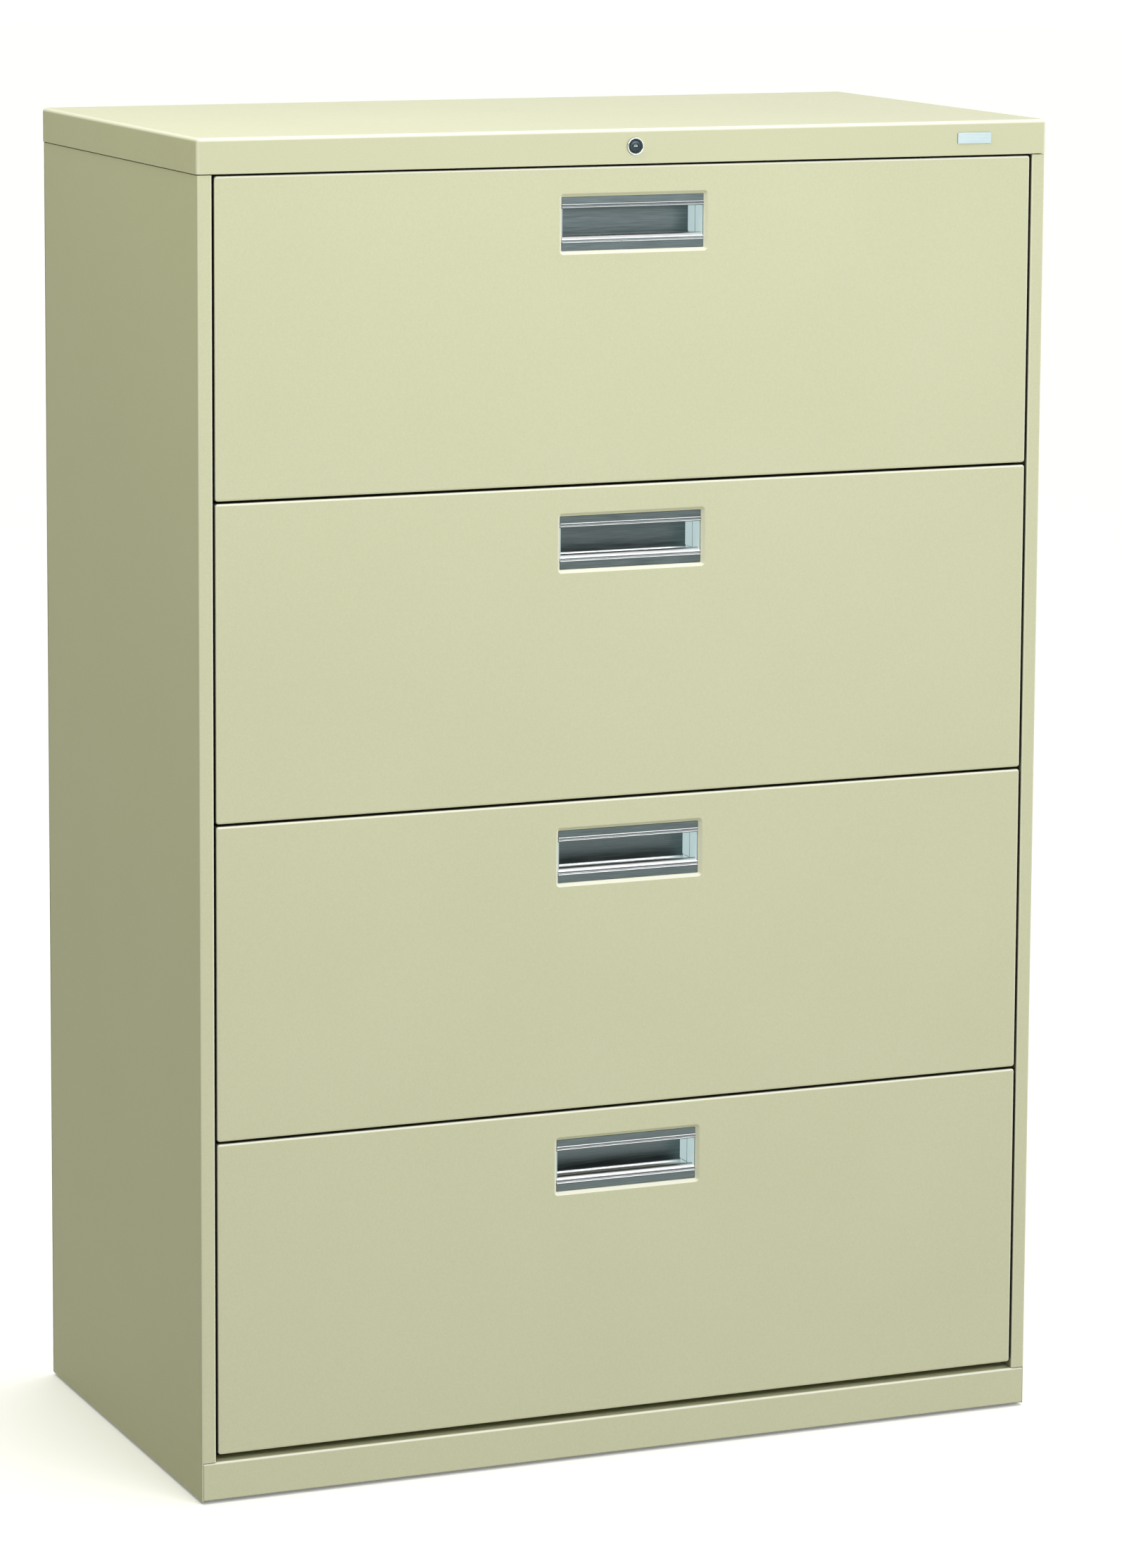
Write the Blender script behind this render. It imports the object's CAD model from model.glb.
# %% [markdown]
# # A four-drawer lateral filing cabinet
# The real cabinet is bent from sheet steel about a millimetre thick and powder coated in putty.
# Every edge that shows is a fold, so every edge is round, and the light runs along the folds as
# thin bright lines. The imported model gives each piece's size and place, and this script gives
# each visible piece its folds, its fittings and its finish.

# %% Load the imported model
import math

import bmesh
import bpy
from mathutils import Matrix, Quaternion, Vector


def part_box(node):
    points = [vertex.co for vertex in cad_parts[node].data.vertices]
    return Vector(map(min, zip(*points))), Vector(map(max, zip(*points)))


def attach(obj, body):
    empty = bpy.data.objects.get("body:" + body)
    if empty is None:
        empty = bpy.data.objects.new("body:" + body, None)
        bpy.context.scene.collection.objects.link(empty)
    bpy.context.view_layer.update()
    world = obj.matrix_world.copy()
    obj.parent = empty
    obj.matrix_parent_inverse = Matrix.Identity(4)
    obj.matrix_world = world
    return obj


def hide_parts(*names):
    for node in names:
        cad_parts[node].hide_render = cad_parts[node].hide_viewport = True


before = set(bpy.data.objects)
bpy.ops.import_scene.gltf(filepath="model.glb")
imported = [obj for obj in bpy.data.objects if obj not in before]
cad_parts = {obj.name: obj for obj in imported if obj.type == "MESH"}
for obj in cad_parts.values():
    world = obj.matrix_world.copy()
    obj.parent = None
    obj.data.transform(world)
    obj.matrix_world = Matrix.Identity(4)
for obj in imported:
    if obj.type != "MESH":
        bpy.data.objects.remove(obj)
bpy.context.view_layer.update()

# %% [markdown]
# ## Sizes
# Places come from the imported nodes. What a box can't tell, such as the thickness of the sheet
# or the roundness of a fold, is named here in millimetres and turned to metres once.

# %% Sizes that the nodes' boxes don't give
MM = 0.001
SHEET = 1.2 * MM  # thickness of the folded panels
FOLD = 2.0 * MM  # outside radius of a fold
FOLD_STEPS = 7  # flats round a quarter turn
TOUCH = 0.3 * MM  # room between pieces that rest on each other
DRAWERS = (1, 2, 3, 4)  # from the top down
HANDS = (("left", -1), ("right", 1))


def node_box(name):
    """Lowest corner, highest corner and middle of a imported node, in metres."""
    low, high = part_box(name)
    return low, high, (low + high) / 2


case_low, case_high, _ = node_box("top_cap")
print("cap", [round(v * 1000, 1) for v in case_high - case_low])

# %% [markdown]
# ## Colour and node helpers
# Paint colours are known by their hex codes on a screen, but a shader works in linear light,
# so one function does the change. A second small function adds a node, with its settings and
# links in one call, so a material reads like a recipe.

# %% Colour and node helpers


def linear(code, alpha=1.0):
    """An sRGB hex code as a linear colour."""
    channels = [int(code[i:i + 2], 16) / 255 for i in (1, 3, 5)]
    return [c / 12.92 if c <= 0.04045 else ((c + 0.055) / 1.055) ** 2.4 for c in channels] + [alpha]


def add(tree, kind, inputs=None, **settings):
    """Adds a node. inputs maps a socket to a value, or to an output socket to link from."""
    node = tree.nodes.new(kind)
    for key, value in settings.items():
        setattr(node, key, value)
    for key, value in (inputs or {}).items():
        if isinstance(value, bpy.types.NodeSocket):
            tree.links.new(value, node.inputs[key])
        else:
            node.inputs[key].default_value = value
    return node


print("putty in linear light", [round(c, 3) for c in linear("#cecfaf")])

# %% [markdown]
# A metal or a paint is nearly always the Principled shader, so one function makes a material
# with it and sets what is the same all over. Patterns are sized in millimetres, as they would
# be measured on the real thing, and the frame is in metres, so a noise of a given size has a
# scale of a thousand over that size.

# %% Materials and pattern sizes


def new_material(name, **shader):
    """A material with its Principled shader. shader gives the socket values that are uniform."""
    material = bpy.data.materials.new(name)
    material.use_nodes = True
    tree = material.node_tree
    surface = tree.nodes["Principled BSDF"]
    for key, value in shader.items():
        surface.inputs[key.replace("_", " ")].default_value = value
    return material, tree, surface


def per_mm(size):
    """Noise scale that gives features of this size in millimetres, on coordinates in metres."""
    return 1000 / size


NOISE_LOW, NOISE_HIGH = 0.3, 0.7  # nearly all of a noise's values lie between these
print("scale of a 5 mm pattern", per_mm(5.0))

# %% [markdown]
# ## Light on folds, dark in gaps
# On real sheet metal the eye reads the shape from two things: a thin bright line along every
# fold, where the round edge finds a lamp whichever way it is turned, and a dark line in every
# gap. Both are too fine to show fully from across a room, so they are helped along here. The first mask
# looks at which way the surface itself faces and is white on round edges. The second uses
# ambient occlusion, which counts how much of the room a point can see.

# %% Masks for folds and gaps
SEAM_REACH = 9.0 * MM  # how near a facing wall must be to darken a gap
SEAM_SHUT, SEAM_OPEN = 0.25, 0.62  # share of the room seen from deep in a gap, and from its edge
SEAM_LEAST = 0.06  # how much of the colour is left deep in a gap
FOLD_START, FOLD_FULL = 0.08, 0.45  # how far a surface must turn from flat to count as a fold
FOLD_STRENGTH = 0.85
UPRIGHT_SHARE = 0.6  # upright folds catch less light than level ones


def fold_mask(tree):
    """White on rounded folds that face up or stand upright, black on flat faces."""
    facing = add(tree, "ShaderNodeSeparateXYZ", {
        "Vector": add(tree, "ShaderNodeNewGeometry").outputs["Normal"],
    })
    up = add(tree, "ShaderNodeMath", {0: facing.outputs["Z"], 1: 0.0}, operation="MAXIMUM")
    squared = add(tree, "ShaderNodeMath", {0: up.outputs[0], 1: up.outputs[0]}, operation="MULTIPLY")
    rest = add(tree, "ShaderNodeMath", {0: 1.0, 1: squared.outputs[0]}, operation="SUBTRACT")
    side = add(tree, "ShaderNodeMath", {0: rest.outputs[0]}, operation="SQRT")
    top = add(tree, "ShaderNodeMath", {0: up.outputs[0], 1: side.outputs[0]}, operation="MULTIPLY")
    corner = add(tree, "ShaderNodeMath", {0: facing.outputs["X"], 1: facing.outputs["Y"]},
                 operation="MULTIPLY")
    turn = add(tree, "ShaderNodeMath", {0: corner.outputs[0]}, operation="ABSOLUTE")
    upright = add(tree, "ShaderNodeMath", {0: turn.outputs[0], 1: UPRIGHT_SHARE}, operation="MULTIPLY")
    most = add(tree, "ShaderNodeMath", {0: top.outputs[0], 1: upright.outputs[0]}, operation="MAXIMUM")
    return add(tree, "ShaderNodeMapRange", {
        "Value": most.outputs[0], "From Min": FOLD_START, "From Max": FOLD_FULL, "To Max": FOLD_STRENGTH,
    }).outputs["Result"]


def seam_shade(tree):
    """One in the open, and nearly nothing deep in a gap."""
    open_sky = add(tree, "ShaderNodeAmbientOcclusion", {"Distance": SEAM_REACH}, samples=6)
    return add(tree, "ShaderNodeMapRange", {
        "Value": open_sky.outputs["AO"], "From Min": SEAM_SHUT, "From Max": SEAM_OPEN, "To Min": SEAM_LEAST,
    }).outputs["Result"]


print("gaps darken within", round(SEAM_REACH / MM, 1), "mm")

# %% [markdown]
# ## Powder coat
# The case and the drawer fronts are steel with a baked polyester powder coat. Powder melts and
# levels before it sets, and it never levels fully, so the skin keeps a fine orange peel with
# bumps about a millimetre across. To the eye that gives a satin sheen with a faint grain, and
# a colour that is even but not flat. The bump is two noises, the colour drifts a little over a
# hand's width, and the gloss varies with the slower waves.

# %% Powder coat
PEEL_MM = 1.5  # orange peel, drawn a little coarse so that it still shows from across a room
PEEL_BUMP, PEEL_HEIGHT = 0.35, 0.12 * MM
MOTTLE_MM = 5.0  # the slower waves under the peel
MOTTLE_BUMP, MOTTLE_HEIGHT = 0.12, 0.25 * MM
DRIFT_MM = 180.0  # slow change in tone over a panel
DRIFT_SHARE = 0.4  # how much of the change in tone is the slow one
PAINT_IOR = 1.35  # a matted resin shines less at a glance than a clear one
FOLD_TONE = "#fbfbee"  # the paint's colour where a fold catches the light
GAP_TONE = "#0c0c08"


def powder_coat(name, light, dark, roughness):
    """A satin powder coat between two tones."""
    material, tree, surface = new_material(name, IOR=PAINT_IOR)
    place = add(tree, "ShaderNodeTexCoord").outputs["Object"]
    peel = add(tree, "ShaderNodeTexNoise", {"Vector": place, "Scale": per_mm(PEEL_MM), "Detail": 2.0})
    mottle = add(tree, "ShaderNodeTexNoise", {"Vector": place, "Scale": per_mm(MOTTLE_MM), "Detail": 3.0})
    drift = add(tree, "ShaderNodeTexNoise", {"Vector": place, "Scale": per_mm(DRIFT_MM), "Detail": 2.0})
    blend = add(tree, "ShaderNodeMath", {
        0: drift.outputs["Fac"], 1: DRIFT_SHARE, 2: peel.outputs["Fac"],
    }, operation="MULTIPLY_ADD")
    spread = add(tree, "ShaderNodeMapRange", {
        "Value": blend.outputs[0],
        "From Min": NOISE_LOW + DRIFT_SHARE / 2, "From Max": NOISE_HIGH + DRIFT_SHARE / 2,
    })
    tone = add(tree, "ShaderNodeMix", {
        0: spread.outputs["Result"], 6: linear(dark), 7: linear(light),
    }, data_type="RGBA")
    fold = add(tree, "ShaderNodeMix", {0: fold_mask(tree), 6: tone.outputs[2], 7: linear(FOLD_TONE)},
               data_type="RGBA")
    seam = add(tree, "ShaderNodeMix", {0: seam_shade(tree), 6: linear(GAP_TONE), 7: fold.outputs[2]},
               data_type="RGBA")
    gloss = add(tree, "ShaderNodeMapRange", {
        "Value": mottle.outputs["Fac"], "From Min": NOISE_LOW, "From Max": NOISE_HIGH,
        "To Min": roughness - 0.04, "To Max": roughness + 0.05,
    })
    waves = add(tree, "ShaderNodeBump", {
        "Height": mottle.outputs["Fac"], "Strength": MOTTLE_BUMP, "Distance": MOTTLE_HEIGHT,
    })
    bumps = add(tree, "ShaderNodeBump", {
        "Height": peel.outputs["Fac"], "Normal": waves.outputs["Normal"],
        "Strength": PEEL_BUMP, "Distance": PEEL_HEIGHT,
    })
    tree.links.new(seam.outputs[2], surface.inputs["Base Color"])
    tree.links.new(gloss.outputs["Result"], surface.inputs["Roughness"])
    tree.links.new(bumps.outputs["Normal"], surface.inputs["Normal"])
    return material


case_paint = powder_coat("putty_powder_coat_case", "#cecfaf", "#c9caa9", 0.5)
front_paint = powder_coat("putty_powder_coat_drawer_front", "#cecfaf", "#c9caa9", 0.5)
inner_paint = powder_coat("putty_powder_coat_inside", "#c6c8a6", "#c0c19e", 0.55)
print("paints", case_paint.name, front_paint.name, inner_paint.name)

# %% [markdown]
# ## Brushed aluminium
# The pulls are cut from an aluminium extrusion, brushed along its length and anodised grey.
# Brushing leaves fine scratches that run sideways, which break a reflection up and down but
# not along. A noise that is stretched along X does both jobs: it roughens the metal in streaks
# and tilts its surface slightly across them. The small plate by the lock is the same metal with
# a paler and more satin finish.

# %% Brushed aluminium
BRUSH_LENGTH_MM = 30.0
BRUSH_WIDTH_MM = 0.7  # real scratches are finer, and this is as coarse as they need to be to show


def brushed_metal(name, light, dark, crest, roughness, depth):
    """Metal with scratches along X and a crest colour on its rounded, upward folds."""
    material, tree, surface = new_material(name, Metallic=1.0)
    place = add(tree, "ShaderNodeTexCoord").outputs["Object"]
    stretch = add(tree, "ShaderNodeMapping", {
        "Vector": place,
        "Scale": (per_mm(BRUSH_LENGTH_MM), per_mm(BRUSH_WIDTH_MM), per_mm(BRUSH_WIDTH_MM)),
    })
    streaks = add(tree, "ShaderNodeTexNoise", {"Vector": stretch.outputs[0], "Scale": 1.0, "Detail": 4.0})
    spread = add(tree, "ShaderNodeMapRange", {
        "Value": streaks.outputs["Fac"], "From Min": NOISE_LOW, "From Max": NOISE_HIGH,
    })
    tone = add(tree, "ShaderNodeMix", {
        0: spread.outputs["Result"], 6: linear(dark), 7: linear(light),
    }, data_type="RGBA")
    shine = add(tree, "ShaderNodeMix", {0: fold_mask(tree), 6: tone.outputs[2], 7: linear(crest)},
                data_type="RGBA")
    gloss = add(tree, "ShaderNodeMapRange", {
        "Value": streaks.outputs["Fac"], "From Min": NOISE_LOW, "From Max": NOISE_HIGH,
        "To Min": roughness - 0.06, "To Max": roughness + 0.08,
    })
    bumps = add(tree, "ShaderNodeBump", {
        "Height": streaks.outputs["Fac"], "Strength": 0.25, "Distance": depth,
    })
    tree.links.new(shine.outputs[2], surface.inputs["Base Color"])
    tree.links.new(gloss.outputs["Result"], surface.inputs["Roughness"])
    tree.links.new(bumps.outputs["Normal"], surface.inputs["Normal"])
    return material


pull_metal = brushed_metal("brushed_anodised_aluminium", "#6a7476", "#535e5f", "#ffffff", 0.34, 0.05 * MM)
plate_metal = brushed_metal("satin_anodised_plate", "#bccdd1", "#b0c1c5", "#f4fafb", 0.42, 0.02 * MM)
print("brushed", pull_metal.name, plate_metal.name)

# %% [markdown]
# ## Plated steel
# The slides, rails and bottom pan are steel with bright zinc: a cool grey metal with a faint
# blotchy sheen where the zinc grew in patches. The balls are hardened steel, polished bright.
# The lock's ring is polished chrome and its plug is dark nickel. All four are one recipe, with
# patches of a few millimetres and a fine grain over them.

# %% Plated steel
GRAIN_MM = 0.6  # the plating's grain, drawn coarser than real so that it shows
GRAIN_BUMP, GRAIN_HEIGHT = 0.15, 0.02 * MM


def plated_steel(name, light, dark, roughness, patch_mm):
    """Plating with soft patches and a fine grain."""
    material, tree, surface = new_material(name, Metallic=1.0)
    place = add(tree, "ShaderNodeTexCoord").outputs["Object"]
    patches = add(tree, "ShaderNodeTexVoronoi", {"Vector": place, "Scale": per_mm(patch_mm)})
    grain = add(tree, "ShaderNodeTexNoise", {"Vector": place, "Scale": per_mm(GRAIN_MM), "Detail": 3.0})
    shade = add(tree, "ShaderNodeMath", {0: patches.outputs["Distance"], 1: grain.outputs["Fac"]},
                operation="MULTIPLY")
    tone = add(tree, "ShaderNodeMix", {0: shade.outputs[0], 6: linear(light), 7: linear(dark)},
               data_type="RGBA")
    gloss = add(tree, "ShaderNodeMapRange", {
        "Value": shade.outputs[0], "From Min": 0.0, "From Max": 0.6,
        "To Min": roughness - 0.05, "To Max": roughness + 0.1,
    })
    bumps = add(tree, "ShaderNodeBump", {
        "Height": grain.outputs["Fac"], "Strength": GRAIN_BUMP, "Distance": GRAIN_HEIGHT,
    })
    tree.links.new(tone.outputs[2], surface.inputs["Base Color"])
    tree.links.new(gloss.outputs["Result"], surface.inputs["Roughness"])
    tree.links.new(bumps.outputs["Normal"], surface.inputs["Normal"])
    return material


zinc = plated_steel("bright_zinc_plated_steel", "#b9bdbf", "#969b9e", 0.34, 6.0)
ball_steel = plated_steel("hardened_ball_steel", "#c9cbcc", "#a9acae", 0.14, 3.0)
chrome = plated_steel("polished_chrome", "#f6fafa", "#e2e9ea", 0.22, 8.0)
dark_nickel = plated_steel("dark_nickel_lock_plug", "#414d51", "#283236", 0.24, 4.0)
print("plated", zinc.name, ball_steel.name, chrome.name, dark_nickel.name)

# %% [markdown]
# ## Moulded plastic
# The ends of the pulls are closed by plugs of milky plastic, and the glides stand on black
# nylon. A mould's surface is spark eroded, so its parts come out with a fine even grain and a
# soft sheen. Milky plastic also lets light through, and its broad thin walls look brighter than
# light from the front alone would make them. A weak glow on the faces that look along X stands
# in for that, and costs far less time than light scattered inside the wall.

# %% Moulded plastic
SPARK_MM = 0.5  # the mould's grain, drawn coarser than real so that it shows
SPARK_BUMP, SPARK_HEIGHT = 0.2, 0.03 * MM
GLOSS_SPREAD = 0.06
GLOW = 0.8


def moulded_plastic(name, light, dark, roughness):
    """Plastic with the fine spark texture of its mould."""
    material, tree, surface = new_material(name, IOR=1.49)
    place = add(tree, "ShaderNodeTexCoord").outputs["Object"]
    spark = add(tree, "ShaderNodeTexNoise", {"Vector": place, "Scale": per_mm(SPARK_MM), "Detail": 4.0})
    tone = add(tree, "ShaderNodeMix", {0: spark.outputs["Fac"], 6: linear(dark), 7: linear(light)},
               data_type="RGBA")
    gloss = add(tree, "ShaderNodeMapRange", {
        "Value": spark.outputs["Fac"], "To Min": roughness - GLOSS_SPREAD, "To Max": roughness + GLOSS_SPREAD,
    })
    bumps = add(tree, "ShaderNodeBump", {
        "Height": spark.outputs["Fac"], "Strength": SPARK_BUMP, "Distance": SPARK_HEIGHT,
    })
    tree.links.new(tone.outputs[2], surface.inputs["Base Color"])
    tree.links.new(gloss.outputs["Result"], surface.inputs["Roughness"])
    tree.links.new(bumps.outputs["Normal"], surface.inputs["Normal"])
    return material


def milky_plastic():
    """Plastic whose broad walls glow with the light that comes through them."""
    material = moulded_plastic("moulded_milky_plastic", "#93a2a4", "#859496", 0.35)
    tree = material.node_tree
    surface = tree.nodes["Principled BSDF"]
    facing = add(tree, "ShaderNodeSeparateXYZ", {
        "Vector": add(tree, "ShaderNodeNewGeometry").outputs["Normal"],
    })
    broad = add(tree, "ShaderNodeMath", {0: facing.outputs["X"]}, operation="ABSOLUTE")
    glow = add(tree, "ShaderNodeMix", {0: broad.outputs[0], 6: linear("#000000"), 7: linear("#c4dadb")},
               data_type="RGBA")
    tree.links.new(glow.outputs[2], surface.inputs["Emission Color"])
    surface.inputs["Emission Strength"].default_value = GLOW
    return material


end_plastic = milky_plastic()
nylon = moulded_plastic("moulded_black_nylon", "#303234", "#222426", 0.5)
print("moulded", end_plastic.name, nylon.name)

# %% [markdown]
# ## Mesh helpers
# Three ways of making a shape cover the whole cabinet. A folded sheet is an outline that
# follows its folds, run along a straight line. A pressed or drawn panel is a loft of rounded
# rectangles, one ring inside the next. A turned part is a profile spun about its axis.
# Shading is smooth across the folds and sharp at cut edges, and weighted normals keep the
# big flat faces truly flat.

# %% Turn points and faces into a piece
SHARP_ANGLE = math.radians(40)


def piece(name, points, faces, material, body, slot):
    """A mesh object in the frame's own coordinates that moves with a body."""
    mesh = bpy.data.meshes.new(name)
    mesh.from_pydata([tuple(p) for p in points], [], faces)
    work = bmesh.new()
    work.from_mesh(mesh)
    bmesh.ops.remove_doubles(work, verts=work.verts, dist=1e-7)
    bmesh.ops.recalc_face_normals(work, faces=work.faces)
    work.to_mesh(mesh)
    work.free()
    thing = bpy.data.objects.new(name, mesh)
    bpy.context.scene.collection.objects.link(thing)
    return dress(thing, material, body)


def dress(thing, material, body):
    """Shading, material, body and record slot of a new piece."""
    mesh = thing.data
    mesh.polygons.foreach_set("use_smooth", [True] * len(mesh.polygons))
    mesh.set_sharp_from_angle(angle=SHARP_ANGLE)
    weighted = thing.modifiers.new("weighted normals", "WEIGHTED_NORMAL")
    weighted.keep_sharp = True
    mesh.materials.clear()
    mesh.materials.append(material)
    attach(thing, body)
    return thing


print("edges sharper than", round(math.degrees(SHARP_ANGLE)), "degrees stay sharp")

# %% Lofts of rounded rectangles
CORNER_STEPS = 6


def rounded_rectangle(half_width, half_height, radius):
    """Points of a rounded rectangle round the origin, anticlockwise from the lower right."""
    points = []
    quarter = math.pi / 2
    corners = ((1, -1, -quarter), (1, 1, 0.0), (-1, 1, quarter), (-1, -1, 2 * quarter))
    for sx, sy, start in corners:
        cx, cy = sx * (half_width - radius), sy * (half_height - radius)
        for k in range(CORNER_STEPS + 1):
            angle = start + quarter * k / CORNER_STEPS
            points.append((cx + radius * math.cos(angle), cy + radius * math.sin(angle)))
    return points


def loft(rings, closed=False):
    """Points and faces between rings with equal counts. An open loft is capped at both ends."""
    count = len(rings[0])
    points = [p for ring in rings for p in ring]
    faces = []
    last = len(rings) if closed else len(rings) - 1
    for r in range(last):
        a, b = r * count, ((r + 1) % len(rings)) * count
        for k in range(count):
            n = (k + 1) % count
            faces.append((a + k, a + n, b + n, b + k))
    if not closed:
        faces.append(tuple(reversed(range(count))))
        faces.append(tuple(range((len(rings) - 1) * count, len(rings) * count)))
    return points, faces


def quarter_turn(radius, steps=FOLD_STEPS):
    """(inset, drop) pairs round a convex edge, from its side to its top."""
    for k in range(steps + 1):
        angle = math.pi / 2 * k / steps
        yield radius * (1 - math.cos(angle)), radius * (1 - math.sin(angle))


print("points round a rectangle", len(rounded_rectangle(2, 1, 0.5)))

# %% Folded sheet


def folded_outline(path, thickness=SHEET, fold=FOLD):
    """The two faces of a folded sheet. The path is its outer face, with the sheet on its left."""
    corners = [Vector(p) for p in path]
    ways = [(b - a).normalized() for a, b in zip(corners, corners[1:])]
    face, inside = [], []

    def lay(point, normal):
        face.append(point)
        inside.append(point + normal * thickness)

    def left_of(way):
        return Vector((-way.y, way.x))

    lay(corners[0], left_of(ways[0]))
    for corner, before, after in zip(corners[1:-1], ways, ways[1:]):
        turn = math.asin(before.x * after.y - before.y * after.x)
        hand = 1 if turn > 0 else -1
        radius = fold if turn > 0 else fold - thickness
        start = corner - before * radius * math.tan(abs(turn) / 2)
        centre = start + left_of(before) * hand * radius
        for k in range(FOLD_STEPS + 1):
            angle = turn * k / FOLD_STEPS
            side = left_of(before)
            normal = Vector((
                side.x * math.cos(angle) - side.y * math.sin(angle),
                side.x * math.sin(angle) + side.y * math.cos(angle),
            ))
            lay(centre - normal * hand * radius, normal)
    lay(corners[-1], left_of(ways[-1]))
    return face, inside


def run(outline, place, start, end):
    """Points and faces of a folded sheet run from start to end. place(u, v, w) gives the point."""
    face, inside = outline
    count = len(face)
    points = [place(p.x, p.y, w) for w in (start, end) for p in [*face, *inside]]
    faces = []
    far = 2 * count
    for k in range(count - 1):
        faces.append((k, k + 1, far + k + 1, far + k))
        faces.append((count + k + 1, count + k, far + count + k, far + count + k + 1))
        faces.append((k + 1, k, count + k, count + k + 1))
        faces.append((far + k, far + k + 1, far + count + k + 1, far + count + k))
    for k in (0, count - 1):
        faces.append((k, far + k, far + count + k, count + k))
    return points, faces


def along_x(u, v, w):
    return (w, u, v)


def along_z(u, v, w):
    return (u, v, w)


one_fold = folded_outline([(0, 0), (100 * MM, 0), (100 * MM, 100 * MM)])
print("points on each face of a sheet with one fold", len(one_fold[0]))

# %% Turned parts and cuts


def turned(profile, centre, segments=48):
    """Points and faces of (radius, distance) pairs spun about a line along Y through centre."""
    points, faces, rows = [], [], []
    for radius, distance in profile:
        if radius < 1e-9:
            rows.append([len(points)] * segments)
            points.append((centre.x, centre.y + distance, centre.z))
            continue
        rows.append(list(range(len(points), len(points) + segments)))
        for k in range(segments):
            angle = 2 * math.pi * k / segments
            x, z = radius * math.cos(angle), radius * math.sin(angle)
            points.append((centre.x + x, centre.y + distance, centre.z + z))
    for near, far in zip(rows, rows[1:]):
        for k in range(segments):
            n = (k + 1) % segments
            ring = [near[k], near[n], far[n], far[k]]
            faces.append(tuple(dict.fromkeys(ring)))
    return points, [f for f in faces if len(f) > 2]


def block_shape(low, high):
    """Points and faces of a plain block, for a cut."""
    points = [
        (x, y, z)
        for x in (low[0], high[0])
        for y in (low[1], high[1])
        for z in (low[2], high[2])
    ]
    faces = [(0, 1, 3, 2), (4, 6, 7, 5), (0, 4, 5, 1), (2, 3, 7, 6), (0, 2, 6, 4), (1, 5, 7, 3)]
    return points, faces


def cut(thing, shape):
    """Takes a shape away from a piece, and keeps the result as plain mesh."""
    mesh = bpy.data.meshes.new("cutter")
    mesh.from_pydata([tuple(p) for p in shape[0]], [], shape[1])
    work = bmesh.new()
    work.from_mesh(mesh)
    bmesh.ops.recalc_face_normals(work, faces=work.faces)
    work.to_mesh(mesh)
    work.free()
    cutter = bpy.data.objects.new("cutter", mesh)
    bpy.context.scene.collection.objects.link(cutter)
    weighted = thing.modifiers[0]
    weighted.show_viewport = False
    modifier = thing.modifiers.new("cut", "BOOLEAN")
    modifier.operation, modifier.solver, modifier.object = "DIFFERENCE", "EXACT", cutter
    bpy.context.view_layer.update()
    depsgraph = bpy.context.evaluated_depsgraph_get()
    made = bpy.data.meshes.new_from_object(thing.evaluated_get(depsgraph))
    thing.modifiers.remove(modifier)
    weighted.show_viewport = True
    thing.data = made
    made.polygons.foreach_set("use_smooth", [True] * len(made.polygons))
    made.set_sharp_from_angle(angle=SHARP_ANGLE)
    bpy.data.objects.remove(cutter)
    return thing


print("faces of a block for a cut", len(block_shape((0, 0, 0), (1, 1, 1))[1]))

# %% [markdown]
# ## Camera
# The camera stands to the left of the cabinet and a little above its middle, with a long lens,
# and looks down by about eight degrees. The frame is shifted down, so the camera needs less
# tilt to take in the whole cabinet, and its upright edges close in less.

# %% Camera
CAMERA_PLACE = Vector((-2.199, -5.295, 1.720))
CAMERA_TURN = math.radians(22.79)  # to the right of straight ahead
CAMERA_DIP = math.radians(8.13)
CAMERA_ROLL = math.radians(0.31)
CAMERA_LENS = 128.1
CAMERA_SENSOR = 36.0
CAMERA_SHIFT = -0.15  # of the frame's longer side
CAMERA_REACH = 100.0

camera_data = bpy.data.cameras.new("camera")
camera_data.lens = CAMERA_LENS
camera_data.sensor_width = CAMERA_SENSOR
camera_data.shift_y = CAMERA_SHIFT
camera_data.clip_end = CAMERA_REACH
camera = bpy.data.objects.new("camera", camera_data)
camera.location = CAMERA_PLACE
camera.rotation_mode = "XYZ"
ahead = Vector((
    math.sin(CAMERA_TURN) * math.cos(CAMERA_DIP),
    math.cos(CAMERA_TURN) * math.cos(CAMERA_DIP),
    -math.sin(CAMERA_DIP),
))
aim = ahead.to_track_quat("-Z", "Y")
aim.rotate(Quaternion(ahead, -CAMERA_ROLL))
camera.rotation_euler = aim.to_euler()
bpy.context.scene.collection.objects.link(camera)
bpy.context.scene.camera = camera
print("camera", [round(v, 3) for v in camera.location])

# %% [markdown]
# ## Floor and sweep
# The floor is a wide pale plane with a faint glow of its own. Rays of soft bounced light don't
# see it, so it takes the cabinet's shadow and throws nothing back. The sweep is a white ring
# far outside the floor's middle, seen only by the camera, so the surround is white all round.

# %% Floor
FLOOR_HALF = 60.0
FLOOR_WHITE = 0.95
FLOOR_GLOW = 0.2

floor_mesh = bpy.data.meshes.new("floor")
floor_mesh.from_pydata(
    [(-FLOOR_HALF, -FLOOR_HALF, 0), (FLOOR_HALF, -FLOOR_HALF, 0),
     (FLOOR_HALF, FLOOR_HALF, 0), (-FLOOR_HALF, FLOOR_HALF, 0)], [], [(0, 1, 2, 3)])
floor = bpy.data.objects.new("floor", floor_mesh)
bpy.context.scene.collection.objects.link(floor)
floor_paint, _, floor_surface = new_material("studio_floor", Roughness=0.9, Specular_IOR_Level=0.0)
floor_surface.inputs["Base Color"].default_value = (FLOOR_WHITE, FLOOR_WHITE, FLOOR_WHITE, 1)
floor_surface.inputs["Emission Color"].default_value = (1, 1, 1, 1)
floor_surface.inputs["Emission Strength"].default_value = FLOOR_GLOW
floor_mesh.materials.append(floor_paint)
floor.visible_diffuse = False
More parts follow.
